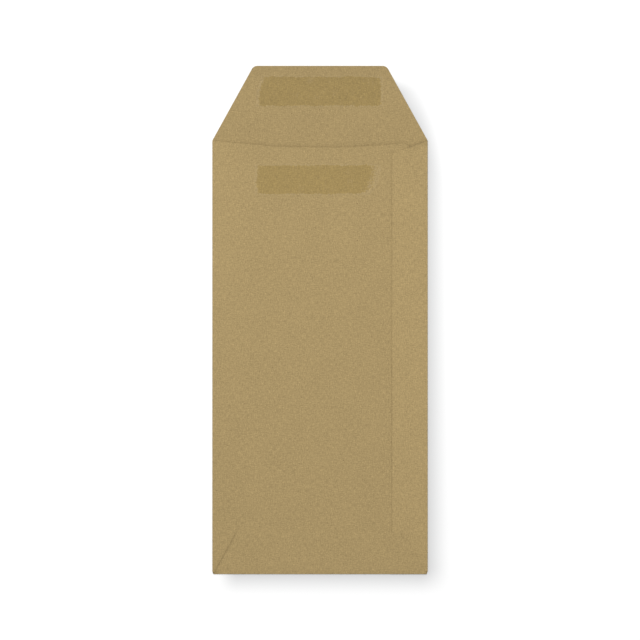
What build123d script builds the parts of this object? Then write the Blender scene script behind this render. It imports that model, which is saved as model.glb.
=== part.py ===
from build123d import *
from math import asin, atan2, cos, hypot, radians, sin, tan
import os

# A pocket envelope folded from one sheet of manila paper, lying with its address side down and its
# flap open. The origin is the centre of the address side, +X is to the right, +Y is towards the flap
# and +Z is up. Sizes are in millimetres and degrees.

# The pocket, across its side folds and from its bottom fold to the flap's crease.
width = 109.5
height = 220.5

# The sheet, the glue between its layers and the gum on it.
paper = 0.1
glue_film = 0.04
gum_film = 0.03

# The gap inside the left fold, which is the pocket's where it is flat. Towards the throat the back
# panel rises by throat_rise: it slopes up from both side folds and bends level at two soft shoulders.
# The rise is made in rise_steps equal lengths.
fold_gap = 0.2
throat_rise = 1.2
shoulder_radius = 45.0
rise_steps = 1
left_shoulder_inset = 19.2
strip_shoulder_gap = 3.2

# The top flap, which carries on from the front panel past its crease.
flap_depth = 37.9
flap_side_inset = 21.0
flap_corner_radius = 3.2
flap_lift = 0.5
crease_radius = 3.0

# The back panel, folded over from the left, with its dipped upper edge.
throat_sag = 3.7
throat_corner_radius = 2.8

# The seam strip, folded over from the right and glued on the back panel, which reaches under it by
# seam_overlap.
strip_width = 18.3
seam_overlap = 8.8
strip_cut_angle = 19.7
strip_corner_radius = 0.8

# The bottom flap, folded up last over the back panel and the seam strip. It steps down from the
# strip to the back panel over a short ramp beside the strip's edge.
bottom_depth = 22.0
bottom_side_inset = 12.3
bottom_corner_radius = 2.0
ramp_width = 1.0

# Each side fold is joined to the front panel this far from the envelope's edge, the side panels stop
# this far above the bottom fold, and the pocket is flat to this far above the bottom flap.
fold_root = 0.5
side_relief = 1.2
flat_margin = 1.0

# The glued areas stop this far inside the paper's edges.
glue_inset = 1.2
glue_corner_radius = 0.5

# The two gummed patches that seal the flap.
flap_gum_width = 63.3
back_gum_width = 62.5
back_gum_shift = -1.4
gum_depth = 15.0
gum_corner_radius = 1.0
flap_gum_rise = 17.5
back_gum_drop = 12.5

# Places worked out from the sizes above.
side = width / 2
crease_y = height / 2
bottom_y = -height / 2
panel_bottom_y = bottom_y + side_relief
flat_end_y = bottom_y + bottom_depth + flat_margin
root_x = side - fold_root
strip_edge_x = side - strip_width
back_edge_x = strip_edge_x + seam_overlap

# Heights where the pocket is flat, and the outer radii of the folds.
layer_step = paper + glue_film
left_radius = paper + fold_gap / 2
back_top = 2 * left_radius
strip_top = back_top + layer_step
right_radius = strip_top / 2
low_flap_radius = (back_top + layer_step) / 2
high_flap_radius = (strip_top + layer_step) / 2
flap_root_y = bottom_y + high_flap_radius + paper


def shoulder_slope(shoulder_x, fold_radius, tangent_radius):
    """The angle of the line from a raised shoulder down to the circle that it leaves at the fold."""
    run = side - fold_radius - abs(shoulder_x)
    rise = back_top + throat_rise - fold_radius
    return atan2(rise, run) - asin(tangent_radius / hypot(rise, run))


# At the throat the back panel's outer face is level between the shoulders and slopes outside them.
left_shoulder_x = -side + left_shoulder_inset
right_shoulder_x = strip_edge_x - strip_shoulder_gap
left_slope = shoulder_slope(left_shoulder_x, left_radius, left_radius)
right_slope = shoulder_slope(right_shoulder_x, right_radius, right_radius - layer_step)
left_level_x = left_shoulder_x + shoulder_radius * tan(left_slope / 2)
right_level_x = right_shoulder_x - shoulder_radius * tan(right_slope / 2)
left_slope_x = left_level_x - shoulder_radius * sin(left_slope)
right_slope_x = right_level_x + shoulder_radius * sin(right_slope)


def panel_point(x, above, rise):
    """The point this far above the back panel's outer face, square to the face where it crosses x.

    rise is 0 where the pocket is flat and 1 at the throat.
    """
    hand, level_x, slope = (1, right_level_x, right_slope) if x > 0 else (-1, left_level_x, left_slope)
    past_level = max(hand * (x - level_x), 0)
    bend = min(past_level, shoulder_radius * sin(slope))
    angle = asin(bend / shoulder_radius)
    drop = shoulder_radius * (1 - cos(angle)) + (past_level - bend) * tan(angle)
    lift = throat_rise - drop - above * (1 - cos(angle))
    return (x + rise * hand * above * sin(angle), back_top + above + rise * lift)


def band_section(left_x, right_x, low, high, y, rise):
    """The section at y of a short band between two heights above the back panel's outer face."""
    middle_x = (left_x + right_x) / 2
    on_left_bend = left_slope_x < middle_x < left_level_x
    on_right_bend = right_level_x < middle_x < right_slope_x
    with BuildLine(Plane.XZ.offset(-y)) as outline:
        for above in (low, high):
            start, middle, end = [panel_point(x, above, rise) for x in (left_x, middle_x, right_x)]
            if rise and (on_left_bend or on_right_bend):
                ThreePointArc(start, middle, end)
            else:
                Line(start, end)
        for x in (left_x, right_x):
            Line(panel_point(x, low, rise), panel_point(x, high, rise))
    return Face(outline.wire())


def fold_section(hand, level, y, rise):
    """The section at y of a side fold, between its two roots: hand is -1 at the left, 1 at the right."""
    radius = (back_top + level) / 2
    slope = right_slope if hand > 0 else left_slope
    fold_x = hand * (side - radius)
    panel_x = hand * (side - radius + rise * (radius - level) * sin(slope))
    with BuildLine(Plane.XZ.offset(-y)) as outline:
        for above, wall in ((level, 0), (level - paper, paper)):
            fold_end = panel_point(panel_x, above, rise)
            Line((hand * root_x, wall), (fold_x, wall))
            ThreePointArc((fold_x, wall), (hand * (side - wall), radius), fold_end)
            Line(fold_end, panel_point(hand * root_x, above, rise))
        Line(*[panel_point(hand * root_x, above, rise) for above in (level, level - paper)])
        Line((hand * root_x, paper), (hand * root_x, 0))
    return Face(outline.wire())


def along_pocket(section, *sizes):
    """Carries a section up the pocket: straight where it is flat, then ruled up to the throat."""
    flat_length = flat_end_y - panel_bottom_y
    extrude(section(*sizes, panel_bottom_y, 0), amount=flat_length, dir=(0, 1, 0))
    rises = [step / rise_steps for step in range(rise_steps + 1)]
    places = [(flat_end_y + rise * (crease_y - flat_end_y), rise) for rise in rises]
    for start, end in zip(places, places[1:]):
        loft([section(*sizes, *start), section(*sizes, *end)], ruled=True)


def panel_band(left_x, right_x, low, high):
    """A band up the whole pocket, made in one length for each flat or bend that it crosses."""
    turns = [left_slope_x, left_level_x, right_level_x, right_slope_x]
    stops = [left_x] + [x for x in turns if left_x < x < right_x] + [right_x]
    for start, end in zip(stops, stops[1:]):
        along_pocket(band_section, start, end, low, high)


def keep_inside(plan):
    """Trims the part to a plan outline, as a cutting die does."""
    extrude(plan, amount=width, both=True, mode=Mode.INTERSECT)


def bottom_trapezoid(inset, corner_radius):
    """The bottom flap's plan, drawn in from its edges by inset."""
    root = side - fold_root - inset
    top = side - bottom_side_inset - inset
    with BuildSketch() as plan:
        with BuildLine():
            Polyline(
                (-root, bottom_y + inset),
                (root, bottom_y + inset),
                (top, bottom_y + bottom_depth - inset),
                (-top, bottom_y + bottom_depth - inset),
                close=True,
            )
        make_face()
        fillet(plan.vertices().sort_by(Axis.Y)[-2:], corner_radius)
    return plan.sketch


# Back panel plan: the throat dips in the middle, and the corner beside the seam is rounded.
with BuildSketch() as back_plan:
    with BuildLine():
        throat = ThreePointArc((-side, crease_y), (0, crease_y - throat_sag), (side, crease_y))
        Polyline((side, crease_y), (side, panel_bottom_y), (-side, panel_bottom_y), (-side, crease_y))
    make_face()
    with Locations((back_edge_x, 0)):
        Rectangle(width, 2 * height, align=(Align.MIN, Align.CENTER), mode=Mode.SUBTRACT)
    throat_corner = back_plan.vertices().sort_by(Axis.X)[-2:].sort_by(Axis.Y)[-1]
    fillet(throat_corner, throat_corner_radius)

# Front and top flap plan.
with BuildSketch() as front_plan:
    with BuildLine():
        Polyline(
            (-side, flap_root_y),
            (side, flap_root_y),
            (side, crease_y),
            (side - flap_side_inset, crease_y + flap_depth),
            (-side + flap_side_inset, crease_y + flap_depth),
            (-side, crease_y),
            close=True,
        )
    make_face()
    fillet(front_plan.vertices().sort_by(Axis.Y)[-2:], flap_corner_radius)


def strip_outline(inset, corner_radius):
    """The seam strip's plan, with both ends cut at a slant, drawn in from its edges by inset."""
    cut = radians(strip_cut_angle)
    right, left = side - inset, strip_edge_x + inset
    right_drop, left_drop = [(side - x) * tan(cut) + inset / cos(cut) for x in (right, left)]
    with BuildSketch() as plan:
        with BuildLine():
            Polyline(
                (right, crease_y - right_drop),
                (left, crease_y - left_drop),
                (left, panel_bottom_y + left_drop),
                (right, panel_bottom_y + right_drop),
                close=True,
            )
        make_face()
        fillet(plan.vertices().sort_by(Axis.X)[:2], corner_radius)
    return plan.sketch


# The left side fold and the back panel.
with BuildPart() as back_panel:
    along_pocket(fold_section, -1, 0)
    panel_band(-root_x, back_edge_x, -paper, 0)
    keep_inside(back_plan.sketch)

# The right side fold and the seam strip.
with BuildPart() as seam_strip:
    along_pocket(fold_section, 1, layer_step)
    panel_band(strip_edge_x, root_x, glue_film, layer_step)
    keep_inside(strip_outline(0, strip_corner_radius))

# The front panel and the top flap: one plate, bent up a little along the crease.
with BuildPart() as front_panel:
    with BuildSketch(Plane.YZ.offset(-root_x)) as plate:
        with BuildLine():
            panel = Line((flap_root_y, paper / 2), (crease_y, paper / 2))
            crease = JernArc(panel @ 1, panel % 1, crease_radius, flap_lift)
            Line(crease @ 1, crease @ 1 + (crease % 1) * flap_depth)
        trace(line_width=paper)
    extrude(amount=2 * root_x)
    keep_inside(front_plan.sketch)


def hem_section(x, radius):
    """The section at x of the bottom fold and its flap; radius is the fold's outer radius."""
    fold_y = bottom_y + radius
    top_y = bottom_y + bottom_depth
    with BuildSketch(Plane.YZ.offset(x)) as section:
        with BuildLine():
            Line((flap_root_y, 0), (fold_y, 0))
            ThreePointArc((fold_y, 0), (bottom_y, radius), (fold_y, 2 * radius))
            Line((fold_y, 2 * radius), (top_y, 2 * radius))
            Line((top_y, 2 * radius), (top_y, 2 * radius - paper))
            Line((top_y, 2 * radius - paper), (fold_y, 2 * radius - paper))
            ThreePointArc((fold_y, 2 * radius - paper), (bottom_y + paper, radius), (fold_y, paper))
            Line((fold_y, paper), (flap_root_y, paper))
            Line((flap_root_y, paper), (flap_root_y, 0))
        make_face()
    return section.sketch.face()


def glue_section(x, low, high):
    """The section at x of a block of glue between two heights, as deep as the bottom flap."""
    with BuildSketch(Plane.YZ.offset(x)) as section:
        with BuildLine():
            corners = [(bottom_y, low), (flat_end_y, low), (flat_end_y, high), (bottom_y, high)]
            Polyline(corners, close=True)
        make_face()
    return section.sketch.face()


def across_bottom(section, low_sizes, high_sizes):
    """Carries a section across the bottom: low over the back panel, high over the seam strip."""
    ramp_start = strip_edge_x - ramp_width
    extrude(section(-side, *low_sizes), amount=side + ramp_start, dir=(1, 0, 0))
    loft([section(ramp_start, *low_sizes), section(strip_edge_x, *high_sizes)], ruled=True)
    extrude(section(strip_edge_x, *high_sizes), amount=strip_width, dir=(1, 0, 0))


# The bottom fold and the bottom flap.
with BuildPart() as bottom_flap:
    across_bottom(hem_section, (low_flap_radius,), (high_flap_radius,))
    keep_inside(bottom_trapezoid(0, bottom_corner_radius))

# The sheet is one piece: its panels are joined at their folds.
with BuildPart() as envelope_paper:
    for panel in (front_panel, back_panel, seam_strip, bottom_flap):
        add(panel.part)
envelope_paper.part.label = "envelope_paper"

# The glue under the seam strip fills the gap between it and the back panel's edge.
with BuildPart() as side_seam_glue:
    glue_edge_x = back_edge_x - glue_inset
    panel_band(strip_edge_x, glue_edge_x, -paper / 2, glue_film + paper / 2)
    keep_inside(strip_outline(glue_inset, strip_corner_radius))
    add(envelope_paper.part, mode=Mode.SUBTRACT)
side_seam_glue.part.label = "side_seam_glue"

# The glue under the bottom flap steps up with it from the back panel onto the seam strip.
with BuildPart() as bottom_flap_glue:
    across_bottom(
        glue_section,
        (back_top - paper / 2, back_top + glue_film + paper / 2),
        (strip_top - paper / 2, strip_top + glue_film + paper / 2),
    )
    keep_inside(bottom_trapezoid(glue_inset, glue_corner_radius))
    add(envelope_paper.part, mode=Mode.SUBTRACT)
bottom_flap_glue.part.label = "bottom_flap_glue"

# The gummed patch on the inside of the top flap lies on the flap's sloping face.
lift = radians(flap_lift)
bend_radius = crease_radius - paper / 2
flap_start_y = crease_y + bend_radius * sin(lift)
flap_start_z = paper / 2 + crease_radius - bend_radius * cos(lift)
flap_face = Plane((0, flap_start_y, flap_start_z), x_dir=(1, 0, 0), z_dir=(0, -sin(lift), cos(lift)))
with BuildPart() as flap_gum:
    with BuildSketch(flap_face):
        with Locations((0, flap_gum_rise + gum_depth / 2)):
            RectangleRounded(flap_gum_width, gum_depth, gum_corner_radius)
    extrude(amount=gum_film)
flap_gum.part.label = "flap_gum"

# The patch that it meets lies on the back panel, below the throat, and follows the panel's arch.
with BuildSketch() as back_gum_plan:
    with Locations((back_gum_shift, crease_y - back_gum_drop - gum_depth / 2)):
        RectangleRounded(back_gum_width, gum_depth, gum_corner_radius)
with BuildPart() as back_gum:
    panel_band(-root_x, strip_edge_x, -paper / 2, gum_film)
    keep_inside(back_gum_plan.sketch)
    add(envelope_paper.part, mode=Mode.SUBTRACT)
back_gum.part.label = "back_gum"

os.makedirs("parts", exist_ok=True)
export_step(envelope_paper.part, "parts/envelope_paper.step")
export_step(side_seam_glue.part, "parts/side_seam_glue.step")
export_step(bottom_flap_glue.part, "parts/bottom_flap_glue.step")
export_step(flap_gum.part, "parts/flap_gum.step")
export_step(back_gum.part, "parts/back_gum.step")
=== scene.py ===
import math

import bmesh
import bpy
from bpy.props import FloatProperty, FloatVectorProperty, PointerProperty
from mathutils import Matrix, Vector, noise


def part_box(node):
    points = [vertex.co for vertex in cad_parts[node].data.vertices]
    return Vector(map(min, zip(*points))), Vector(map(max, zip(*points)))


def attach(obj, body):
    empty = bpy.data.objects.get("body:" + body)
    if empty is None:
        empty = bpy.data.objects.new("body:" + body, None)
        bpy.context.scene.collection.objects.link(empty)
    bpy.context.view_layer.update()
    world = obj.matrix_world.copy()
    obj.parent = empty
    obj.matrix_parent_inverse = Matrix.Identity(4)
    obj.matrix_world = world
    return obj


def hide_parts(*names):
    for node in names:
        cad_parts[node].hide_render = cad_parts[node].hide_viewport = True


bl_info = {
    "name": "Paper Envelope",
    "version": (1, 0, 0),
    "blender": (4, 5, 0),
    "location": "View3D > Sidebar > Envelope",
    "description": "Folds a manila pocket envelope from one sheet and lays it on a pale table",
    "category": "Object",
}

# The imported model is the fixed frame, in metres. The sheet's sizes start from its box.
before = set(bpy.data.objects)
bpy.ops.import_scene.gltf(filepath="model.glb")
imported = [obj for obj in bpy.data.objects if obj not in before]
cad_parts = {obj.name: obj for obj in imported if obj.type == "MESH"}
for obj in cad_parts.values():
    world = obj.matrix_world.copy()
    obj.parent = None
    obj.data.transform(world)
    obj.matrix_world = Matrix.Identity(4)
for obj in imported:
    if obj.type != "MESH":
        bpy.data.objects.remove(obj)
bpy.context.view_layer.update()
SHEET_LOW, SHEET_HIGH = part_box("envelope_paper")

MM = 0.001
BLANK_MAP = "blank"
# The tone attribute holds painted light and shade on the sheet; on the gum films it also holds the
# gum's own darkening.
PAINTED_SHADING_AND_GUM_TONE = "tone"
COVER = "cover"
MERGE_DISTANCE = 1e-7

# How finely the sheet is divided, in metres: across its panels, and beside its cut edges.
CELL = 3.0 * MM
EDGE_CELLS = (0.4 * MM, 0.9 * MM, 1.6 * MM, 2.6 * MM)
FOLD_SEGMENTS = 8
CORNER_SEGMENTS = 7

# Along a lap's free edge the paper curls up, or is pressed down, over these reaches.
CURL_REACH = 1.6 * MM
END_CURL_REACH = 2.0 * MM
PRESSED_REACH = 2.6 * MM
# The share of its thickness that a pressed edge loses.
PRESSED_SHARE = 0.7

# The gum patches. left and right are their side edges: how far down from the patch's top, as a
# share of its depth, and x in millimetres. cover is how fully the gum covers, deepen is how much it
# darkens the paper, and dry is how far from the right end the brush ran dry.
GUM_COLUMNS, GUM_ROWS = 126, 30
GUM_DRY_LEFT = 4.0 * MM
GUM_DRY_ROWS = 1.3 * MM
FLAP_PATCH = {
    "name": "flap_gum_film",
    "node": "flap_gum",
    "left": ((0.0, -30.0), (0.2, -30.4), (0.35, -31.6), (0.5, -32.4), (1.0, -32.8)),
    "right": ((0.0, 32.2), (0.5, 32.5), (1.0, 32.3)),
    "cover": 1.15,
    "deepen": 0.035,
    "dry": 3.5 * MM,
}
BACK_PATCH = {
    "name": "back_gum_film",
    "node": "back_gum",
    "left": ((0.0, -33.4), (0.5, -33.7), (1.0, -33.3)),
    "right": ((0.0, 31.6), (0.3, 31.0), (0.6, 29.8), (0.8, 28.0), (1.0, 25.0)),
    "cover": 0.92,
    "deepen": 0.02,
    "dry": 9.0 * MM,
}

# Painted light and shade on the layers beside each other, by y in millimetres: how light the back
# panel, its left margin and the seam strip are painted. The flap has one painted shade near its
# crease and a deeper one along its outer margin.
BACK_PAINTED_SHADING = (
    (-120.0, 0.975),
    (-100.0, 0.985),
    (-60.0, 0.995),
    (0.0, 1.0),
    (62.0, 1.008),
    (90.0, 0.995),
    (112.0, 0.97),
)
SIDE_PAINTED_SHADING = ((-120.0, 0.97), (-60.0, 0.98), (80.0, 1.03), (112.0, 1.02))
SIDE_PAINTED_SHADING_REACH = 24.0 * MM
STRIP_PAINTED_SHADING = (
    (-120.0, 1.0),
    (-90.0, 1.035),
    (-65.0, 1.047),
    (0.0, 1.062),
    (77.0, 1.05),
    (112.0, 1.02),
)
FLAP_PAINTED_SHADE, FLAP_MARGIN_PAINTED_SHADE = 0.955, 0.905
FLAP_MARGIN_START, FLAP_MARGIN_REACH = 28.0 * MM, 8.0 * MM

# Painted shadow lines along the sheet's lapped edges: how much darker the sheet is painted there,
# and how far in that reaches: the bottom flap's left and right sides, the seam strip's free edge
# above and below the middle, and the strip's upper end over the back panel and beyond it.
HEM_PAINTED_SHADOW_LEFT, HEM_PAINTED_SHADOW_RIGHT, HEM_PAINTED_SHADOW_REACH = 0.22, 0.04, 0.9 * MM
SEAM_PAINTED_SHADOW_UPPER, SEAM_PAINTED_SHADOW_LOWER, SEAM_PAINTED_SHADOW_REACH = 0.16, 0.22, 0.5 * MM
END_PAINTED_SHADOW_OVER, END_PAINTED_SHADOW_BEYOND, END_PAINTED_SHADOW_REACH = 0.05, 0.28, 0.7 * MM

# The soft shadow painted on the table, side by side: how far it passes each side of the outline,
# and half the width over which it fades. A negative pass keeps it under the envelope.
SHADE_RIGHT = (4.2 * MM, 9.0 * MM)
SHADE_BOTTOM = (4.0 * MM, 8.6 * MM)
SHADE_LEFT = (-7.0 * MM, 6.0 * MM)
SHADE_FLAP_RIGHT = (4.5 * MM, 10.0 * MM)
SHADE_TIP = (-8.0 * MM, 6.0 * MM)
SHADE_FLAP_LEFT = (-8.0 * MM, 6.0 * MM)
# The colour at the depth of the painted shadow.
SHADE_TINT = (0.0, 0.004, 0.008)

# The table is a little brighter to the camera, from near the envelope to far from it.
GLOW_START, GLOW_END = 0.13, 0.5
GLOW_NEAR, GLOW_FAR = 0.03, 0.45

# The soft lamp, in metres.
KEY_PLACE = (-0.30, 0.85, 1.45)
KEY_AIM = (0.0, 0.02, 0.0)
KEY_SIZE = 0.7
TABLE_HALF = 3.0
TABLE_GAP = 0.02 * MM


def length(name, millimetres, description):
    """A length property with its default given in millimetres."""
    return FloatProperty(
        name=name,
        description=description,
        default=millimetres * MM,
        min=0.0,
        precision=5,
        subtype="DISTANCE",
        unit="LENGTH",
    )


def share(name, default, description):
    """A plain number property."""
    return FloatProperty(name=name, description=description, default=default, min=0.0)


def colour(name, default, description):
    """A colour property in linear light."""
    return FloatVectorProperty(
        name=name,
        description=description,
        default=default,
        min=0.0,
        max=1.0,
        subtype="COLOR",
        size=3,
    )


class EnvelopeSheetSizes(bpy.types.PropertyGroup):
    width: length("Width", (SHEET_HIGH.x - SHEET_LOW.x) / MM, "Across the pocket, fold to fold")
    height: length("Height", -2 * SHEET_LOW.y / MM, "From the bottom fold to the flap's crease")
    paper: length("Paper", 0.1, "Thickness of the sheet")
    glue_film: length("Glue film", 0.04, "Thickness of the glue between two layers")
    fold_gap: length("Fold gap", 0.2, "Gap inside the left fold")
    throat_rise: length("Throat rise", 1.2, "How far the back panel stands up at the throat")
    shoulder_radius: length("Shoulder radius", 45.0, "Bend of the back panel beside its level part")
    left_shoulder: length("Left shoulder", 19.2, "From the left fold to the left shoulder")
    right_shoulder: length("Right shoulder", 3.2, "From the seam to the right shoulder")
    throat_sag: length("Throat sag", 3.7, "Dip of the back panel's upper edge")
    throat_corner: length("Throat corner", 2.8, "Radius at the end of the back panel's upper edge")
    flap_depth: length("Flap depth", 37.9, "From the crease to the flap's edge")
    flap_inset: length("Flap inset", 21.0, "How far the flap narrows at each side")
    flap_corner: length("Flap corner", 3.2, "Radius of the flap's corners")
    flap_lift: FloatProperty(
        name="Flap lift",
        description="How far the flap stands up from its crease",
        default=math.radians(0.5),
        subtype="ANGLE",
    )
    strip_width: length("Strip width", 18.3, "Width of the seam strip")
    strip_cut: FloatProperty(
        name="Strip cut",
        description="Slant of the seam strip's ends",
        default=math.radians(19.7),
        subtype="ANGLE",
    )
    strip_corner: length("Strip corner", 0.8, "Radius of the seam strip's corners")
    seam_overlap: length("Seam overlap", 8.8, "How far the back panel reaches under the strip")
    hem_depth: length("Bottom flap depth", 22.0, "From the bottom fold to the bottom flap's edge")
    hem_inset: length("Bottom flap inset", 12.3, "How far the bottom flap narrows at each side")
    hem_corner: length("Bottom flap corner", 2.0, "Radius of the bottom flap's corners")
    hem_ramp: length("Bottom flap ramp", 1.0, "Width of the step down from the strip to the back")
    side_relief: length("Side relief", 1.2, "How far the side panels stop above the bottom fold")
    fold_root: length("Fold root", 0.5, "How far the bottom flap stops inside the side folds")
    glue_inset: length("Glue inset", 1.2, "How far the glue stops inside the paper's edges")
    cockle: length("Cockle", 0.07, "Height of the paper's slow waves")
    seam_curl: length("Seam curl", 0.10, "How far the seam strip's edge stands off")
    end_curl: length("Strip end curl", 0.3, "How far the seam strip's upper end stands off")
    hem_curl: length("Bottom flap curl", 0.10, "How far the bottom flap's left edge stands off")


class EnvelopeGumSizes(bpy.types.PropertyGroup):
    film: length("Film", 0.03, "Thickness of the dried gum")
    depth: length("Depth", 16.2, "Depth of each gummed patch")
    flap_rise: length("Flap patch", 16.9, "From the crease up to the flap's patch")
    back_drop: length("Back patch", 11.9, "From the crease down to the back panel's patch")
    ragged: length("Ragged edge", 0.7, "How far the brushed edge wanders")


class EnvelopePaperFinish(bpy.types.PropertyGroup):
    base: colour("Base", (0.388, 0.283, 0.128), "Colour of the sheet")
    cut_edge: colour("Cut edge", (0.46, 0.36, 0.21), "Colour of the sheet's raw edges")
    speck: colour("Speck", (0.10, 0.062, 0.030), "Colour of the dark bran specks")
    contrast: share("Contrast", 0.385, "Strength of the fibrous mottle")
    roughness: share("Roughness", 0.88, "Roughness of the sheet")


class EnvelopeGumFinish(bpy.types.PropertyGroup):
    base: colour("Base", (0.333, 0.234, 0.081), "Colour of the paper seen through the gum")
    glue: colour("Glue", (0.62, 0.55, 0.40), "Colour of the hidden glue")
    roughness: share("Roughness", 0.62, "Roughness of the dried gum")


class EnvelopeStageLook(bpy.types.PropertyGroup):
    floor: colour("Floor", (1.0, 1.0, 1.0), "Colour of the table")
    # How deep the shadow painted on the table is.
    shade: share("Shade", 0.39, "Depth of the soft shade on the table beside the envelope")
    sky: share("Sky", 0.56, "Strength of the even light from all round")
    key: share("Key", 17.0, "Power of the soft lamp at the upper left, in watts")
    view_width: length("View width", 325.35, "Width of the table that the camera sees")
    view_centre: length("View centre", 18.95, "How far towards the flap the camera stands")
    lens: FloatProperty(name="Lens", description="Focal length", default=100.0, unit="CAMERA")


def smooth(value):
    """Eases 0..1 smoothly."""
    value = min(max(value, 0.0), 1.0)
    return value * value * (3 - 2 * value)


def fade(distance, reach):
    """1 at an edge, falling smoothly to 0 at reach from it."""
    return smooth(1 - distance / reach)


def along(stops, place):
    """Reads a value between ordered (place, value) stops."""
    for (start, low), (end, high) in zip(stops, stops[1:]):
        if place <= end:
            return low + (high - low) * (place - start) / (end - start)
    return stops[-1][1]


class FoldedShape:
    """Where every point of the flat blank goes when the envelope is folded."""

    fold_band = 0.6 * MM
    sag_reach = 30.0 * MM
    cockle_reach = 14.0 * MM
    flap_wave = 0.12 * MM
    flap_calm = 12.0 * MM

    def __init__(self, sizes):
        self.s = s = sizes
        self.side = s.width / 2
        self.crease = s.height / 2
        self.bottom = -s.height / 2
        self.layer = s.paper + s.glue_film
        self.left_radius = s.paper + s.fold_gap / 2
        self.back_top = 2 * self.left_radius
        self.strip_top = self.back_top + self.layer
        self.right_radius = self.strip_top / 2
        self.hem_radii = [(top + self.layer) / 2 for top in (self.back_top, self.strip_top)]
        self.panel_bottom = self.bottom + s.side_relief
        self.flat_end = self.bottom + s.hem_depth + 1.0 * MM
        self.strip_edge = self.side - s.strip_width
        self.back_edge = self.strip_edge + s.seam_overlap
        self.hem_root = self.side - s.fold_root
        self.hem_top = self.side - s.hem_inset
        self.hem_edge = self.bottom + s.hem_depth
        # The blank's fold lines. Each fold takes a narrow band of the blank.
        self.left_u = -(self.side - self.left_radius)
        self.right_u = self.side - self.right_radius
        self.low_v = self.bottom + self.hem_radii[1]
        # The back panel is level between its shoulders at the throat and slopes outside them.
        self.level = {}
        right_shoulder = self.strip_edge - s.right_shoulder
        for hand, shoulder, radius, tangent in (
            (-1, -self.side + s.left_shoulder, self.left_radius, self.left_radius),
            (1, right_shoulder, self.right_radius, self.right_radius - self.layer),
        ):
            run = self.side - radius - abs(shoulder)
            rise = self.back_top + s.throat_rise - radius
            slope = math.atan2(rise, run) - math.asin(tangent / math.hypot(rise, run))
            level = shoulder - hand * s.shoulder_radius * math.tan(slope / 2)
            self.level[hand] = (level, slope)

    def blank_back(self, x):
        """The blank's u for a place on the back panel."""
        return self.left_u - self.fold_band - (x - self.left_u)

    def blank_strip(self, x):
        """The blank's u for a place on the seam strip."""
        return self.right_u + self.fold_band + (self.right_u - x)

    def blank_hem(self, y):
        """The blank's v for a place on the bottom flap."""
        return self.low_v - self.fold_band - (y - self.low_v)

    def cockle(self, x, y):
        """The slow waves that the back's layers share."""
        rise = self.rise(y)
        calm = smooth((self.side - abs(x)) / self.cockle_reach) * (0.3 + 0.7 * smooth(rise))
        broad = noise.noise(Vector((x * 38, y * 22, 1.7)))
        short = noise.noise(Vector((x * 90, y * 60, 8.3)))
        return self.s.cockle * calm * (broad + 0.5 * short)

    def rise(self, y):
        return min(max((y - self.flat_end) / (self.crease - self.flat_end), 0.0), 1.0)

    def back_face(self, x, y):
        """Height of the back panel's outer face."""
        hand = 1 if x > 0 else -1
        level, slope = self.level[hand]
        radius = self.s.shoulder_radius
        past = max(hand * (x - level), 0.0)
        bend = min(past, radius * math.sin(slope))
        angle = math.asin(bend / radius)
        drop = radius * (1 - math.cos(angle)) + (past - bend) * math.tan(angle)
        return self.back_top + self.rise(y) * (self.s.throat_rise - drop) + self.cockle(x, y)

    def strip_face(self, x, y):
        """Height of the seam strip's outer face: its free edge stands off a little."""
        curl = self.s.seam_curl * (0.75 + 0.5 * noise.noise(Vector((0.5, y * 30, 2.9))))
        side = curl * fade(x - self.strip_edge, CURL_REACH)
        end = self.s.end_curl * self.past_back(x) * fade(self.strip_end(x, y), END_CURL_REACH)
        return self.back_face(x, y) + self.layer + max(side, end)

    def hem_step(self, x):
        """0 over the back panel and 1 over the seam strip."""
        return smooth((x - self.strip_edge + self.s.hem_ramp) / self.s.hem_ramp)

    def hem_side(self, x, y):
        """How far a place on the bottom flap is inside its slanted side edge."""
        run = (y - self.bottom) / self.s.hem_depth
        edge = self.hem_root + (self.hem_top - self.hem_root) * run
        slant = math.hypot(self.hem_root - self.hem_top, self.s.hem_depth)
        return (edge - abs(x)) * self.s.hem_depth / slant

    def hem_pressed(self, x, y):
        """1 where the bottom flap is pressed flat: along its top edge and its right side."""
        side = fade(self.hem_side(x, y), PRESSED_REACH) if x > 0 else 0.0
        return max(fade(self.hem_edge - y, PRESSED_REACH), side)

    def hem_face(self, x, y):
        """Height of the bottom flap's outer face."""
        face = self.back_face(x, y) + self.hem_step(x) * self.layer + self.layer
        pressed = self.hem_pressed(x, y)
        face -= (self.s.glue_film + PRESSED_SHARE * self.s.paper) * pressed
        if x < 0:
            face += self.s.hem_curl * fade(self.hem_side(x, y), CURL_REACH) * (1 - pressed)
        return face

    def dip(self, x, v):
        """The back panel's rows follow its dipped upper edge."""
        weight = smooth((v - self.crease + self.sag_reach) / self.sag_reach)
        wander = 0.25 * MM * noise.noise(Vector((x * 70, 3.1, 0.4)))
        return v - weight * ((self.s.throat_sag + wander) * (1 - (x / self.side) ** 2))

    def strip_end(self, x, y):
        """How far a place on the seam strip is below its slanted upper end."""
        slant = self.s.strip_cut
        return (self.crease - (self.side - x) * math.tan(slant) - y) * math.cos(slant)

    def past_back(self, x):
        """0 where the seam strip lies on the back panel and 1 beyond the panel's hidden edge."""
        return smooth((x - self.back_edge + 2 * MM) / (2 * MM))

    def tone(self, u, v):
        """How light the sheet is at a point of the blank, as painted light and shade. It has
        painted shadow lines along lapped edges.
        """
        # The flap is painted in a shade, deeper along its outer margin.
        if v > self.crease:
            margin = smooth((v - self.crease - FLAP_MARGIN_START) / FLAP_MARGIN_REACH)
            return FLAP_PAINTED_SHADE + (FLAP_MARGIN_PAINTED_SHADE - FLAP_PAINTED_SHADE) * margin
        x, y, _ = self.fold(u, v)
        # Painted light and shade on the back panel, by y.
        back = along(BACK_PAINTED_SHADING, y / MM)
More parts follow.
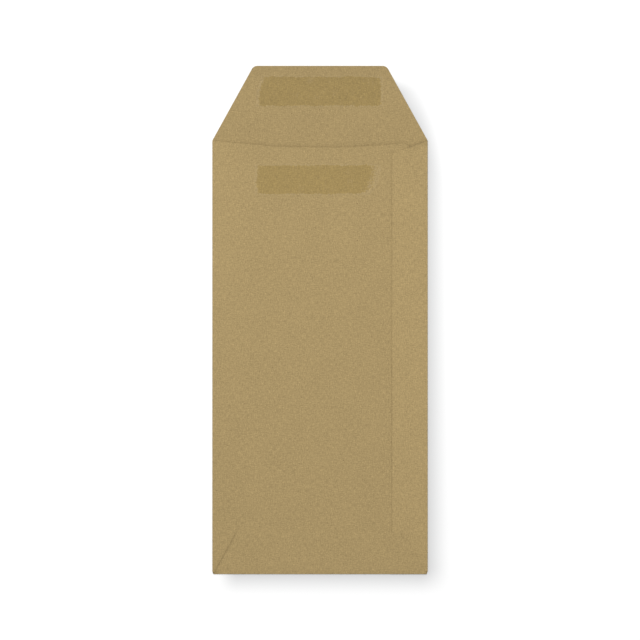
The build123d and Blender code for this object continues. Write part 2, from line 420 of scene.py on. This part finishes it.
        # The bottom flap has painted shadow lines along its slanted sides, strong on the left.
        if v < self.low_v:
            edge_shadow = HEM_PAINTED_SHADOW_LEFT if x < 0 else HEM_PAINTED_SHADOW_RIGHT
            return back - edge_shadow * fade(self.hem_side(x, y), HEM_PAINTED_SHADOW_REACH)
        # The seam strip is painted lighter, less painted shadow lines along its free edge and its
        # upper end.
        if u > self.right_u:
            seam = SEAM_PAINTED_SHADOW_UPPER if y > 0 else SEAM_PAINTED_SHADOW_LOWER
            seam *= fade(x - self.strip_edge, SEAM_PAINTED_SHADOW_REACH)
            end = END_PAINTED_SHADOW_OVER + (END_PAINTED_SHADOW_BEYOND - END_PAINTED_SHADOW_OVER) * self.past_back(x)
            end *= fade(self.strip_end(x, y), END_PAINTED_SHADOW_REACH)
            return along(STRIP_PAINTED_SHADING, y / MM) - max(seam, end)
        # The back panel's left margin blends into its own painted light and shade.
        if u < self.left_u:
            side = fade(x + self.side, SIDE_PAINTED_SHADING_REACH)
            return back * (1 - side) + along(SIDE_PAINTED_SHADING, y / MM) * side
        return back

    def flap_lift(self, run):
        """Height of the flap's middle surface this far past the crease."""
        bend = 3.0 * MM * self.s.flap_lift
        lift = run * run / (2 * bend) if run < bend else run - bend / 2
        return self.s.paper / 2 + lift * math.sin(self.s.flap_lift)

    def thickness(self, u, v):
        """The share of the sheet's thickness that a point keeps: pressed edges are thinner."""
        if v >= self.low_v - self.fold_band:
            return 1.0
        y = self.low_v + (self.low_v - self.fold_band - v)
        return 1 - PRESSED_SHARE * self.hem_pressed(u, y)

    def fold(self, u, v):
        """Folds a point of the blank to its place on the sheet's middle surface."""
        half = self.s.paper / 2
        folds = ((-1, self.left_u, self.left_radius), (1, self.right_u, self.right_radius))
        for hand, start, radius in folds:
            run = hand * (u - start)
            if run <= 0:
                continue
            if run <= self.fold_band:
                angle = math.pi * run / self.fold_band
                bend = radius - half
                return (start + hand * bend * math.sin(angle), v, radius - bend * math.cos(angle))
            x = start - hand * (run - self.fold_band)
            if hand < 0:
                y = self.dip(x, v)
                return (x, y, self.back_face(x, y) - half)
            return (x, v, self.strip_face(x, v) - half)
        if v <= self.low_v + MERGE_DISTANCE:
            radius = self.hem_radii[0] + (self.hem_radii[1] - self.hem_radii[0]) * self.hem_step(u)
            run = self.low_v - v
            if run <= self.fold_band:
                angle = math.pi * max(run, 0.0) / self.fold_band
                bend = radius - half
                y = self.bottom + radius - bend * math.sin(angle)
                return (u, y, radius - bend * math.cos(angle))
            y = self.bottom + radius + run - self.fold_band
            return (u, y, self.hem_face(u, y) - half * self.thickness(u, v))
        if v > self.crease:
            run = v - self.crease
            wave = self.flap_wave * noise.noise(Vector((u * 30, run * 30, 5.5)))
            lift = self.flap_lift(run) + wave * smooth(run / self.flap_calm)
            return (u, self.crease + run * math.cos(self.s.flap_lift), lift)
        return (u, v, half)


def between(low, high, cell=CELL):
    """Evenly spaced lines between two places, without the two ends."""
    count = max(1, round(abs(high - low) / cell))
    return [low + (high - low) * step / count for step in range(1, count)]


def cut(bm, faces, point, direction, clear):
    """Cuts faces along the line through point whose outward side is direction."""
    parts = [*faces, *(e for f in faces for e in f.edges), *(v for f in faces for v in f.verts)]
    geometry = list(dict.fromkeys(parts))
    bmesh.ops.bisect_plane(
        bm,
        geom=geometry,
        dist=MERGE_DISTANCE,
        plane_co=(*point, 0),
        plane_no=(*direction, 0),
        clear_outer=clear,
    )


def cut_edge(bm, region, start, end, inside, insets=()):
    """Trims a region of the blank along a line, and adds finer lines just inside it."""
    start, end, inside = Vector(start), Vector(end), Vector(inside)
    outward = Vector((end.y - start.y, start.x - end.x)).normalized()
    if outward.dot(inside - start) > 0:
        outward = -outward
    cut(bm, region(bm), start, outward, True)
    for inset in insets:
        cut(bm, region(bm), start - outward * inset, outward, False)


def round_corner(bm, region, corner, ends, radius):
    """Rounds a corner between its two edges, which run from it towards ends."""
    corner = Vector(corner)
    arms = [(Vector(end) - corner).normalized() for end in ends]
    half = arms[0].angle(arms[1]) / 2
    centre = corner + (arms[0] + arms[1]).normalized() * radius / math.sin(half)
    normals = [(corner + arm * radius / math.tan(half) - centre).normalized() for arm in arms]
    for step in range(1, CORNER_SEGMENTS):
        direction = normals[0].slerp(normals[1], step / CORNER_SEGMENTS)
        cut(bm, region(bm), centre + direction * radius, direction, True)


def lined_grid(bm, columns, rows):
    """A flat grid whose lines stand at the given places."""
    columns, rows = sorted(set(columns)), sorted(set(rows))
    size = Vector((columns[-1] - columns[0], rows[-1] - rows[0], 1))
    middle = Vector((columns[0] + columns[-1], rows[0] + rows[-1], 0)) / 2
    place = Matrix.Translation(middle) @ Matrix.Diagonal((*size, 1))
    bmesh.ops.create_grid(bm, x_segments=1, y_segments=1, size=0.5, matrix=place)
    for axis, lines in ((0, columns), (1, rows)):
        for line in lines[1:-1]:
            point = (line, 0) if axis == 0 else (0, line)
            cut(bm, bm.faces[:], point, (1 - axis, axis), False)


def within(low_u, high_u, low_v, high_v):
    """Picks the faces of a mesh whose middles are inside a rectangle of the blank."""

    def pick(bm):
        faces = []
        for face in bm.faces:
            middle = face.calc_center_median()
            if low_u < middle.x < high_u and low_v < middle.y < high_v:
                faces.append(face)
        return faces

    return pick


def cut_blank(bm, shape):
    """Cuts the flat blank of the envelope, with all its lines, from one sheet."""
    s = shape.s
    band = shape.fold_band
    left, right, low, top = shape.left_u, shape.right_u, shape.low_v, shape.crease
    back_end, strip_end = shape.blank_back(shape.back_edge), shape.blank_strip(shape.strip_edge)
    hem_end, tip = shape.blank_hem(shape.hem_edge), top + s.flap_depth
    seam_line = shape.blank_back(shape.strip_edge)

    columns = [back_end, seam_line, left - band, left, right, right + band, strip_end]
    columns += [-shape.hem_root, shape.hem_root]
    columns += between(back_end, seam_line) + between(seam_line, left - band)
    columns += between(left - band, left, band / FOLD_SEGMENTS) + between(left, right)
    columns += between(right, right + band, band / FOLD_SEGMENTS) + between(right + band, strip_end)
    columns += [strip_end - step for step in EDGE_CELLS] + [seam_line + step for step in EDGE_CELLS]
    columns += [shape.strip_edge - s.hem_ramp * step / 4 for step in range(5)]
    rows = [hem_end, low - band, low, shape.panel_bottom, shape.flat_end, top, tip]
    rows += between(hem_end, low - band) + between(low - band, low, band / FOLD_SEGMENTS)
    rows += between(shape.panel_bottom, shape.flat_end) + between(shape.flat_end, top)
    rows += between(top, tip) + [hem_end + step for step in EDGE_CELLS]
    rows += [top - step for step in EDGE_CELLS]
    lined_grid(bm, columns, rows)

    far = 1.0
    kept = (
        within(left, right, low, tip),
        within(back_end, strip_end, shape.panel_bottom, top),
        within(-shape.hem_root, shape.hem_root, hem_end, low),
    )
    wanted = {face for pick in kept for face in pick(bm)}
    bmesh.ops.delete(bm, geom=[f for f in bm.faces if f not in wanted], context="FACES")

    flap = within(-far, far, top, far)
    hem = within(-far, far, -far, low - band)
    strip = within(right + band, far, -far, far)
    back = within(-far, left - band, -far, far)
    for hand in (-1, 1):
        root, corner = (hand * shape.side, top), (hand * (shape.side - s.flap_inset), tip)
        cut_edge(bm, flap, root, corner, (0, top))
        round_corner(bm, flap, corner, (root, (0, tip)), s.flap_corner)
        root, corner = (hand * shape.hem_root, low - band), (hand * shape.hem_top, hem_end)
        cut_edge(bm, hem, root, corner, (0, low - band), EDGE_CELLS)
        round_corner(bm, hem, corner, (root, (0, hem_end)), s.hem_corner)
    drop = (strip_end - right - band) * math.tan(s.strip_cut)
    for start, sign in ((top, -1), (shape.panel_bottom, 1)):
        root, corner = (right + band, start), (strip_end, start + sign * drop)
        cut_edge(bm, strip, root, corner, (right + band, 0), EDGE_CELLS)
        round_corner(bm, strip, corner, (root, (strip_end, 0)), s.strip_corner)
    round_corner(bm, back, (back_end, top), ((back_end, 0), (left, top)), s.throat_corner)
    bmesh.ops.remove_doubles(bm, verts=bm.verts[:], dist=MERGE_DISTANCE * 20)


def new_piece(name, bm, context):
    """Makes a mesh object of a bmesh, at the origin."""
    mesh = bpy.data.meshes.new(name)
    bm.to_mesh(mesh)
    bm.free()
    piece = bpy.data.objects.new(name, mesh)
    context.scene.collection.objects.link(piece)
    return piece


def map_blank(bm):
    """Keeps each corner's place on the flat blank, in metres, as a UV map."""
    layer = bm.loops.layers.uv.new(BLANK_MAP)
    for face in bm.faces:
        for loop in face.loops:
            loop[layer].uv = loop.vert.co.xy


def thicken(piece, thickness, offset, context, shares=None, rim=0):
    """Gives a surface its thickness for good, and marks its sharp edges."""
    wall = piece.modifiers.new("Thickness", "SOLIDIFY")
    wall.thickness = thickness
    wall.offset = offset
    wall.use_even_offset = shares is not None
    wall.material_offset_rim = rim
    if shares is not None:
        group = piece.vertex_groups.new(name="thickness")
        for index, value in enumerate(shares):
            group.add([index], value, "REPLACE")
        wall.vertex_group = group.name
    solid = bpy.data.meshes.new_from_object(piece.evaluated_get(context.evaluated_depsgraph_get()))
    piece.modifiers.clear()
    piece.vertex_groups.clear()
    thin, piece.data = piece.data, solid
    bpy.data.meshes.remove(thin)
    solid.name = piece.name
    solid.shade_smooth()
    solid.set_sharp_from_angle(angle=math.radians(38))


class Nodes:
    """Adds linked nodes to a tree."""

    def __init__(self, tree):
        self.tree = tree

    def add(self, kind, inputs=None, **settings):
        node = self.tree.nodes.new(kind)
        for name, value in settings.items():
            setattr(node, name, value)
        for name, value in (inputs or {}).items():
            if isinstance(value, bpy.types.NodeSocket):
                self.tree.links.new(value, node.inputs[name])
            else:
                node.inputs[name].default_value = value
        return node

    def maths(self, operation, *values):
        node = self.tree.nodes.new("ShaderNodeMath")
        node.operation = operation
        for socket, value in zip(node.inputs, values):
            if isinstance(value, bpy.types.NodeSocket):
                self.tree.links.new(value, socket)
            else:
                socket.default_value = value
        return node.outputs[0]

    def mix(self, share, first, second, blend="MIX"):
        node = self.tree.nodes.new("ShaderNodeMix")
        node.data_type = "RGBA"
        node.blend_type = blend
        sockets = [s for s in node.inputs if s.enabled]
        for socket, value in zip(sockets, (share, first, second)):
            if isinstance(value, bpy.types.NodeSocket):
                self.tree.links.new(value, socket)
            else:
                socket.default_value = value if socket is sockets[0] else (*value, 1)
        return next(s for s in node.outputs if s.enabled)

    def toned(self, tint):
        """A colour made lighter or darker by the piece's tone: painted light and shade, and on the
        gum films the gum's own darkening.
        """
        tone = self.add("ShaderNodeAttribute", attribute_name=PAINTED_SHADING_AND_GUM_TONE).outputs["Fac"]
        inputs = {"Vector": tint, "Scale": tone}
        return self.add("ShaderNodeVectorMath", inputs, operation="SCALE").outputs[0]

    def ramp(self, value, low, high, first, last, easing="LINEAR"):
        """Turns low..high into first..last, held at both ends."""
        names = ("Value", "From Min", "From Max", "To Min", "To Max")
        inputs = dict(zip(names, (value, low, high, first, last)))
        return self.add("ShaderNodeMapRange", inputs, interpolation_type=easing).outputs[0]

    def cells(self, vector, scale):
        inputs = {"Vector": vector, "Scale": scale}
        return self.add("ShaderNodeTexVoronoi", inputs, voronoi_dimensions="2D")

    def mottled(self, tone, tint, contrast):
        """A colour that runs from darker to lighter with a tone of 0 to 1."""
        return self.mix(tone, tinted(tint, 1 - contrast), tinted(tint, 1 + contrast))

    def noise(self, vector, scale, detail=2.0, roughness=0.5, stretch=(1, 1, 1)):
        if stretch != (1, 1, 1):
            vector = self.add("ShaderNodeMapping", {"Vector": vector, "Scale": stretch}).outputs[0]
        inputs = {"Vector": vector, "Scale": scale, "Detail": detail, "Roughness": roughness}
        return self.add("ShaderNodeTexNoise", inputs).outputs[0]


def paper_grain_group():
    """The fibrous mottle of unbleached paper: a tone about one half, dark specks and a height."""
    group = bpy.data.node_groups.get("Paper grain")
    if group:
        return group
    group = bpy.data.node_groups.new("Paper grain", "ShaderNodeTree")
    group.interface.new_socket("Vector", in_out="INPUT", socket_type="NodeSocketVector")
    for name in ("Tone", "Specks", "Height"):
        group.interface.new_socket(name, in_out="OUTPUT", socket_type="NodeSocketFloat")
    n = Nodes(group)
    place = n.add("NodeGroupInput").outputs["Vector"]
    fine = n.noise(place, 1900, 2.0, 0.7)
    cloud = n.noise(place, 70, 2.0, 0.5)
    across = n.noise(place, 1, 2.0, 0.6, (420, 2100, 1))
    upward = n.noise(place, 1, 2.0, 0.6, (2100, 420, 1))
    tone = n.maths("ADD", fine, -0.5)
    for part, weight in ((across, 0.7), (upward, 0.7), (cloud, 0.12)):
        tone = n.maths("ADD", tone, n.maths("MULTIPLY", n.maths("ADD", part, -0.5), weight))
    flecks = n.cells(place, 520.0)
    pale = n.ramp(flecks.outputs["Distance"], 0.16, 0.08, 0.0, 0.22)
    tone = n.maths("ADD", tone, n.maths("ADD", pale, 0.49))
    cells = n.cells(place, 140.0)
    chosen = n.add("ShaderNodeSeparateColor", {"Color": cells.outputs["Color"]}).outputs[0]
    size = n.ramp(chosen, 0.72, 1.0, 0.0, 0.036)
    inside = n.maths("SUBTRACT", size, cells.outputs["Distance"])
    specks = n.ramp(inside, 0.0, 0.012, 0.0, 0.8)
    n.add("NodeGroupOutput", {"Tone": tone, "Specks": specks, "Height": tone})
    return group


def new_material(name):
    """A material with an empty node tree, and its helper, shader and output."""
    material = bpy.data.materials.new(name)
    material.use_nodes = True
    material.node_tree.nodes.clear()
    n = Nodes(material.node_tree)
    shader = n.add("ShaderNodeBsdfPrincipled")
    n.add("ShaderNodeOutputMaterial", {"Surface": shader.outputs[0]})
    return material, n, shader


def tinted(base, factor):
    return tuple(min(1.0, channel * factor) for channel in base)


def paper_material(name, base, finish, contrast, on_object=False):
    """Matt unbleached paper, with its grain fixed to the sheet."""
    material, n, shader = new_material(name)
    if on_object:
        place = n.add("ShaderNodeTexCoord").outputs["Object"]
    else:
        place = n.add("ShaderNodeUVMap", uv_map=BLANK_MAP).outputs[0]
    grain = n.add("ShaderNodeGroup", {}, node_tree=paper_grain_group())
    n.tree.links.new(place, grain.inputs["Vector"])
    mottled = n.mottled(grain.outputs["Tone"], base, contrast)
    specked = n.mix(grain.outputs["Specks"], mottled, tuple(finish.speck))
    n.tree.links.new(specked if on_object else n.toned(specked), shader.inputs["Base Color"])
    relief = {"Strength": 0.25, "Distance": 0.03 * MM, "Height": grain.outputs["Height"]}
    n.tree.links.new(n.add("ShaderNodeBump", relief).outputs[0], shader.inputs["Normal"])
    shader.inputs["Roughness"].default_value = finish.roughness
    shader.inputs["Specular IOR Level"].default_value = 0.2
    return material


def gum_material(name, finish, paper):
    """A thin dried gum over the paper: yellower, with brush marks and a low sheen."""
    material, n, shader = new_material(name)
    place = n.add("ShaderNodeTexCoord").outputs["Object"]
    grain = n.add("ShaderNodeGroup", {}, node_tree=paper_grain_group())
    n.tree.links.new(place, grain.inputs["Vector"])
    streaks = n.noise(place, 1, 3.0, 0.6, (900, 160, 1))
    patches = n.noise(place, 160, 4.0, 0.6)
    cover = n.maths("ADD", n.maths("MULTIPLY", streaks, 0.45), n.maths("MULTIPLY", patches, 0.55))
    # The brush ran dry towards the ends: there the paper shows between its touches.
    dabs = n.noise(place, 850, 3.0, 0.7)
    laid = n.add("ShaderNodeAttribute", attribute_name=COVER).outputs["Fac"]
    touched = n.maths("ADD", laid, n.maths("MULTIPLY", n.maths("ADD", dabs, -0.5), 2.0))
    shown = n.ramp(touched, 0.12, 0.62, 0.0, 1.0, "SMOOTHSTEP")
    kept = n.ramp(cover, 0.50, 0.72, 1.0, 0.45, "SMOOTHSTEP")
    body = n.mottled(grain.outputs["Tone"], finish.base, paper.contrast)
    bare = n.mottled(grain.outputs["Tone"], paper.base, paper.contrast)
    gummed = n.mix(n.maths("MULTIPLY", shown, kept), bare, body)
    n.tree.links.new(n.toned(gummed), shader.inputs["Base Color"])
    height = n.maths("ADD", grain.outputs["Height"], n.maths("MULTIPLY", cover, 0.8))
    bump = n.add("ShaderNodeBump", {"Strength": 0.2, "Distance": 0.03 * MM, "Height": height})
    n.tree.links.new(bump.outputs[0], shader.inputs["Normal"])
    rough = n.ramp(cover, 0.3, 0.7, finish.roughness - 0.08, finish.roughness + 0.12)
    n.tree.links.new(rough, shader.inputs["Roughness"])
    shader.inputs["Specular IOR Level"].default_value = 0.25
    return material


class ENVELOPE_OT_fold_sheet(bpy.types.Operator):
    """Cuts the flat blank and folds it into the envelope"""

    bl_idname = "envelope.fold_sheet"
    bl_label = "Fold the sheet"

    def execute(self, context):
        shape = FoldedShape(context.scene.envelope_sheet)
        finish = context.scene.envelope_paper
        bm = bmesh.new()
        cut_blank(bm, shape)
        map_blank(bm)
        shares = [shape.thickness(vert.co.x, vert.co.y) for vert in bm.verts]
        # Each point keeps the painted light and shade of its place as its tone.
        tone = bm.verts.layers.float.new(PAINTED_SHADING_AND_GUM_TONE)
        for vert in bm.verts:
            vert[tone] = shape.tone(vert.co.x, vert.co.y)
            vert.co = shape.fold(vert.co.x, vert.co.y)
        sheet = new_piece("folded_sheet", bm, context)
        thicken(sheet, shape.s.paper, 0.0, context, shares, rim=1)
        face = paper_material("Manila paper", finish.base, finish, finish.contrast)
        edge = paper_material("Cut paper edge", finish.cut_edge, finish, 0.1)
        sheet.data.materials.append(face)
        sheet.data.materials.append(edge)
        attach(sheet, "root")
        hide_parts("envelope_paper")
        return {"FINISHED"}


class ENVELOPE_OT_lay_glue(bpy.types.Operator):
    """Lays the hidden glue under the seam strip and under the bottom flap"""

    bl_idname = "envelope.lay_glue"
    bl_label = "Lay the glue"

    def execute(self, context):
        shape = FoldedShape(context.scene.envelope_sheet)
        finish = context.scene.envelope_paper
        tint = context.scene.envelope_gum.glue
        glue = paper_material("Dried glue", tint, finish, 0.12, on_object=True)
        glue.node_tree.nodes["Principled BSDF"].inputs["Specular IOR Level"].default_value = 0.4
        s, inset = shape.s, shape.s.glue_inset

        low_x, high_x = shape.strip_edge + inset, shape.back_edge - inset
        low_y, high_y = shape.panel_bottom + 2 * inset, shape.crease - 2 * inset
        bm = bmesh.new()
        columns = [low_x, high_x, *between(low_x, high_x, CELL / 2)]
        lined_grid(bm, columns, [low_y, high_y, *between(low_y, high_y)])
        every = within(-1, 1, -1, 1)
        slant = math.tan(s.strip_cut)
        for end, sign in ((shape.crease, -1), (shape.panel_bottom, 1)):
            points = [(x, end + sign * ((shape.side - x) * slant + inset)) for x in (low_x, high_x)]
            cut_edge(bm, every, *points, (low_x, 0))
        for vert in bm.verts:
            vert.co.z = shape.back_face(vert.co.x, vert.co.y)
        seam = new_piece("seam_glue_line", bm, context)
        thicken(seam, s.glue_film, 1.0, context)

        bm = bmesh.new()
        low_y, high_y = shape.bottom + 2 * inset, shape.hem_edge - 2.2 * inset
        wide = shape.hem_root - inset
        ramp = [shape.strip_edge - s.hem_ramp * step / 4 for step in range(5)]
        columns = [-wide, wide, *between(-wide, wide), *ramp]
        lined_grid(bm, columns, [low_y, high_y, *between(low_y, high_y)])
        for hand in (-1, 1):
            root = (hand * (shape.hem_root - 2 * inset), shape.bottom)
            corner = (hand * (shape.hem_top - 2 * inset), shape.hem_edge)
            cut_edge(bm, every, root, corner, (0, shape.bottom))
        for vert in bm.verts:
            vert.co.z = shape.hem_face(vert.co.x, vert.co.y) - shape.layer
        hem = new_piece("bottom_flap_glue_film", bm, context)
        thicken(hem, s.glue_film, 1.0, context)

        for piece, node in ((seam, "side_seam_glue"), (hem, "bottom_flap_glue")):
            piece.data.materials.append(glue)
            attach(piece, "root")
            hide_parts(node)
        return {"FINISHED"}


def brushed(x, y, seed):
    """How far in the brush stopped short at a place, from 0 to about 1."""
    broad = noise.noise(Vector((x * 260, y * 260, seed)))
    fine = noise.noise(Vector((x * 900, y * 900, seed + 4)))
    return min(max(0.45 + 0.9 * broad + 0.5 * fine, 0.0), 1.2)


def gum_patch(patch, top, surface, painted_shading, gum, material, context):
    """A film of gum brushed on a surface, which has its own painted light and shade, down from a
    top edge.
    """
    bm = bmesh.new()
    tone = bm.verts.layers.float.new(PAINTED_SHADING_AND_GUM_TONE)
    cover = bm.verts.layers.float.new(COVER)
    columns = [step / GUM_COLUMNS for step in range(GUM_COLUMNS + 1)]
    rows = [step / GUM_ROWS for step in range(GUM_ROWS + 1)]
    lined_grid(bm, columns, rows)
    for vert in bm.verts:
        across, down = vert.co.x, vert.co.y
        low, high = along(patch["left"], down) * MM, along(patch["right"], down) * MM
        x, y = low + (high - low) * across, top - gum.depth * down
        wide, reach = high - low, 3.0 * MM
        sideways = fade(across * wide, reach) - fade((1 - across) * wide, reach)
        upward = fade((1 - down) * gum.depth, reach) - fade(down * gum.depth, reach)
        aside = sideways * brushed(x, y, 2.2) * gum.ragged
        above = upward * brushed(x, y, 9.4) * gum.ragged
        x, y = x + aside, y + above
        vert.co = (x, y, surface(x, y))
        inside = min(down, 1 - down) * gum.depth
        ends = smooth(across * wide / GUM_DRY_LEFT) * smooth((1 - across) * wide / patch["dry"])
        vert[cover] = patch["cover"] * ends * smooth(inside / GUM_DRY_ROWS)
        # The film keeps the painted light and shade of the paper beneath, darkened further by the
        # gum's own colour.
        vert[tone] = painted_shading(x, y) * (1 - patch["deepen"] * vert[cover])
    bmesh.ops.recalc_face_normals(bm, faces=bm.faces[:])
    if sum(face.normal.z for face in bm.faces) < 0:
        bmesh.ops.reverse_faces(bm, faces=bm.faces[:])
    piece = new_piece(patch["name"], bm, context)
    thicken(piece, gum.film, 1.0, context)
    piece.data.materials.append(material)
    return piece


class ENVELOPE_OT_brush_gum(bpy.types.Operator):
    """Brushes the two gummed patches on the flap and on the back panel"""

    bl_idname = "envelope.brush_gum"
    bl_label = "Brush the gum"

    def execute(self, context):
        scene = context.scene
        shape = FoldedShape(scene.envelope_sheet)
        gum = scene.envelope_gum_sizes
        material = gum_material("Latex gum", scene.envelope_gum, scene.envelope_paper)
        half = shape.s.paper / 2
        spare = 0.004 * MM

        def flap_surface(x, y):
            v = shape.crease + (y - shape.crease) / math.cos(shape.s.flap_lift)
            return shape.fold(x, v)[2] + half + spare

        def back_surface(x, y):
            return shape.back_face(x, y) + spare

        # The back panel's painted light and shade, by y.
        def back_painted_shading(x, y):
            return along(BACK_PAINTED_SHADING, y / MM)

        flap_top = shape.crease + gum.flap_rise + gum.depth
        back_top = shape.crease - gum.back_drop
        for patch, top, surface, painted_shading in (
            (FLAP_PATCH, flap_top, flap_surface, shape.tone),
            (BACK_PATCH, back_top, back_surface, back_painted_shading),
        ):
            piece = gum_patch(patch, top, surface, painted_shading, gum, material, context)
            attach(piece, "root")
            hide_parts(patch["node"])
        return {"FINISHED"}


def floor_material(look, shape):
    """A white table with a soft shadow painted beside the envelope, deepest at its lower right."""
    material, n, shader = new_material("White table")
    place = n.add("ShaderNodeTexCoord").outputs["Object"]
    spread = n.add("ShaderNodeSeparateXYZ", {"Vector": place})
    across, up = spread.outputs[0], spread.outputs[1]
    side, tip = shape.side, shape.crease + shape.s.flap_depth
    slant = Vector((shape.s.flap_depth, shape.s.flap_inset)).normalized()
    slant_reach = slant.x * side + slant.y * shape.crease
    # Each side of the outline: its direction, how far out it stands, and its painted shadow.
    sides = (
        ((1, 0), side, SHADE_RIGHT),
        ((0, -1), -shape.bottom, SHADE_BOTTOM),
        ((-1, 0), side, SHADE_LEFT),
        ((slant.x, slant.y), slant_reach, SHADE_FLAP_RIGHT),
        ((0, 1), tip, SHADE_TIP),
        ((-slant.x, slant.y), slant_reach, SHADE_FLAP_LEFT),
    )
    shade = None
    for (x, y), out, (shift, soft) in sides:
        reach = n.maths("ADD", n.maths("MULTIPLY", across, x), n.maths("MULTIPLY", up, y))
        start, end = out + shift - soft, out + shift + soft
        edge = n.ramp(reach, start, end, 1.0, 0.0, "SMOOTHSTEP")
        shade = edge if shade is None else n.maths("MULTIPLY", shade, edge)
    # The painted shadow darkens the table's colour towards its tint.
    shade = n.maths("MULTIPLY", shade, look.shade)
    tint = n.mix(shade, tuple(look.floor), SHADE_TINT)
    n.tree.links.new(tint, shader.inputs["Base Color"])
    shader.inputs["Roughness"].default_value = 1.0
    shader.inputs["Specular IOR Level"].default_value = 0.0
    seen = n.add("ShaderNodeLightPath").outputs["Is Camera Ray"]
    away = n.add("ShaderNodeVectorMath", {"Vector": place}, operation="LENGTH").outputs["Value"]
    glow = n.ramp(away, GLOW_START, GLOW_END, GLOW_NEAR, GLOW_FAR)
    n.tree.links.new(n.maths("MULTIPLY", seen, glow), shader.inputs["Emission Strength"])
    return material


class ENVELOPE_OT_set_stage(bpy.types.Operator):
    """Sets the table, the light and the camera"""

    bl_idname = "envelope.set_stage"
    bl_label = "Set the stage"

    def execute(self, context):
        scene = context.scene
        look = scene.envelope_stage
        shape = FoldedShape(scene.envelope_sheet)

        bm = bmesh.new()
        bmesh.ops.create_grid(bm, x_segments=8, y_segments=8, size=TABLE_HALF)
        floor = new_piece("table_top", bm, context)
        floor.data.transform(Matrix.Translation((0, 0, SHEET_LOW.z - TABLE_GAP)))
        floor.data.materials.append(floor_material(look, shape))

        world = bpy.data.worlds.new("Even light")
        world.use_nodes = True
        world.node_tree.nodes.clear()
        n = Nodes(world.node_tree)
        rays = n.add("ShaderNodeLightPath").outputs
        seen = n.maths("MAXIMUM", rays["Is Camera Ray"], rays["Is Glossy Ray"])
        seen = n.maths("MAXIMUM", seen, rays["Is Transmission Ray"])
        strength = n.maths("ADD", look.sky, n.maths("MULTIPLY", seen, 1.0 - look.sky))
        sky = n.add("ShaderNodeBackground", {"Color": (1, 1, 1, 1), "Strength": strength})
        n.add("ShaderNodeOutputWorld", {"Surface": sky.outputs[0]})
        scene.world = world

        lamp = bpy.data.lights.new("Key", "AREA")
        lamp.shape = "SQUARE"
        lamp.size = KEY_SIZE
        lamp.energy = look.key
        key = bpy.data.objects.new("Key", lamp)
        key.location = KEY_PLACE
        aim = Vector(KEY_AIM) - key.location
        key.rotation_euler = aim.to_track_quat("-Z", "Y").to_euler()
        scene.collection.objects.link(key)

        camera = bpy.data.cameras.new("Camera")
        camera.lens = look.lens
        camera.sensor_width = 36.0
        camera.clip_start = 0.01
        camera.clip_end = 50.0
        viewer = bpy.data.objects.new("Camera", camera)
        distance = look.view_width * camera.lens / camera.sensor_width
        viewer.location = (0, look.view_centre, distance + shape.strip_top)
        scene.collection.objects.link(viewer)
        scene.camera = viewer
        scene.view_settings.view_transform = "Standard"
        return {"FINISHED"}


class ENVELOPE_PT_panel(bpy.types.Panel):
    """Lists the envelope's sizes, finishes and steps"""

    bl_idname = "ENVELOPE_PT_panel"
    bl_label = "Paper envelope"
    bl_space_type = "VIEW_3D"
    bl_region_type = "UI"
    bl_category = "Envelope"

    def draw(self, context):
        for operator in OPERATORS:
            self.layout.operator(operator.bl_idname)
        for holder in GROUPS:
            box = self.layout.box()
            settings = getattr(context.scene, holder)
            for name in settings.__annotations__:
                box.prop(settings, name)


GROUPS = {
    "envelope_sheet": EnvelopeSheetSizes,
    "envelope_gum_sizes": EnvelopeGumSizes,
    "envelope_paper": EnvelopePaperFinish,
    "envelope_gum": EnvelopeGumFinish,
    "envelope_stage": EnvelopeStageLook,
}
OPERATORS = (
    ENVELOPE_OT_fold_sheet,
    ENVELOPE_OT_lay_glue,
    ENVELOPE_OT_brush_gum,
    ENVELOPE_OT_set_stage,
)


def register():
    for group in (*GROUPS.values(), *OPERATORS, ENVELOPE_PT_panel):
        bpy.utils.register_class(group)
    for name, group in GROUPS.items():
        setattr(bpy.types.Scene, name, PointerProperty(type=group))


def unregister():
    for name in GROUPS:
        delattr(bpy.types.Scene, name)
    for group in (ENVELOPE_PT_panel, *reversed(OPERATORS), *reversed(GROUPS.values())):
        bpy.utils.unregister_class(group)


def main():
    register()
    bpy.ops.envelope.fold_sheet()
    bpy.ops.envelope.lay_glue()
    bpy.ops.envelope.brush_gum()
    bpy.ops.envelope.set_stage()


if __name__ == "__main__":
    main()
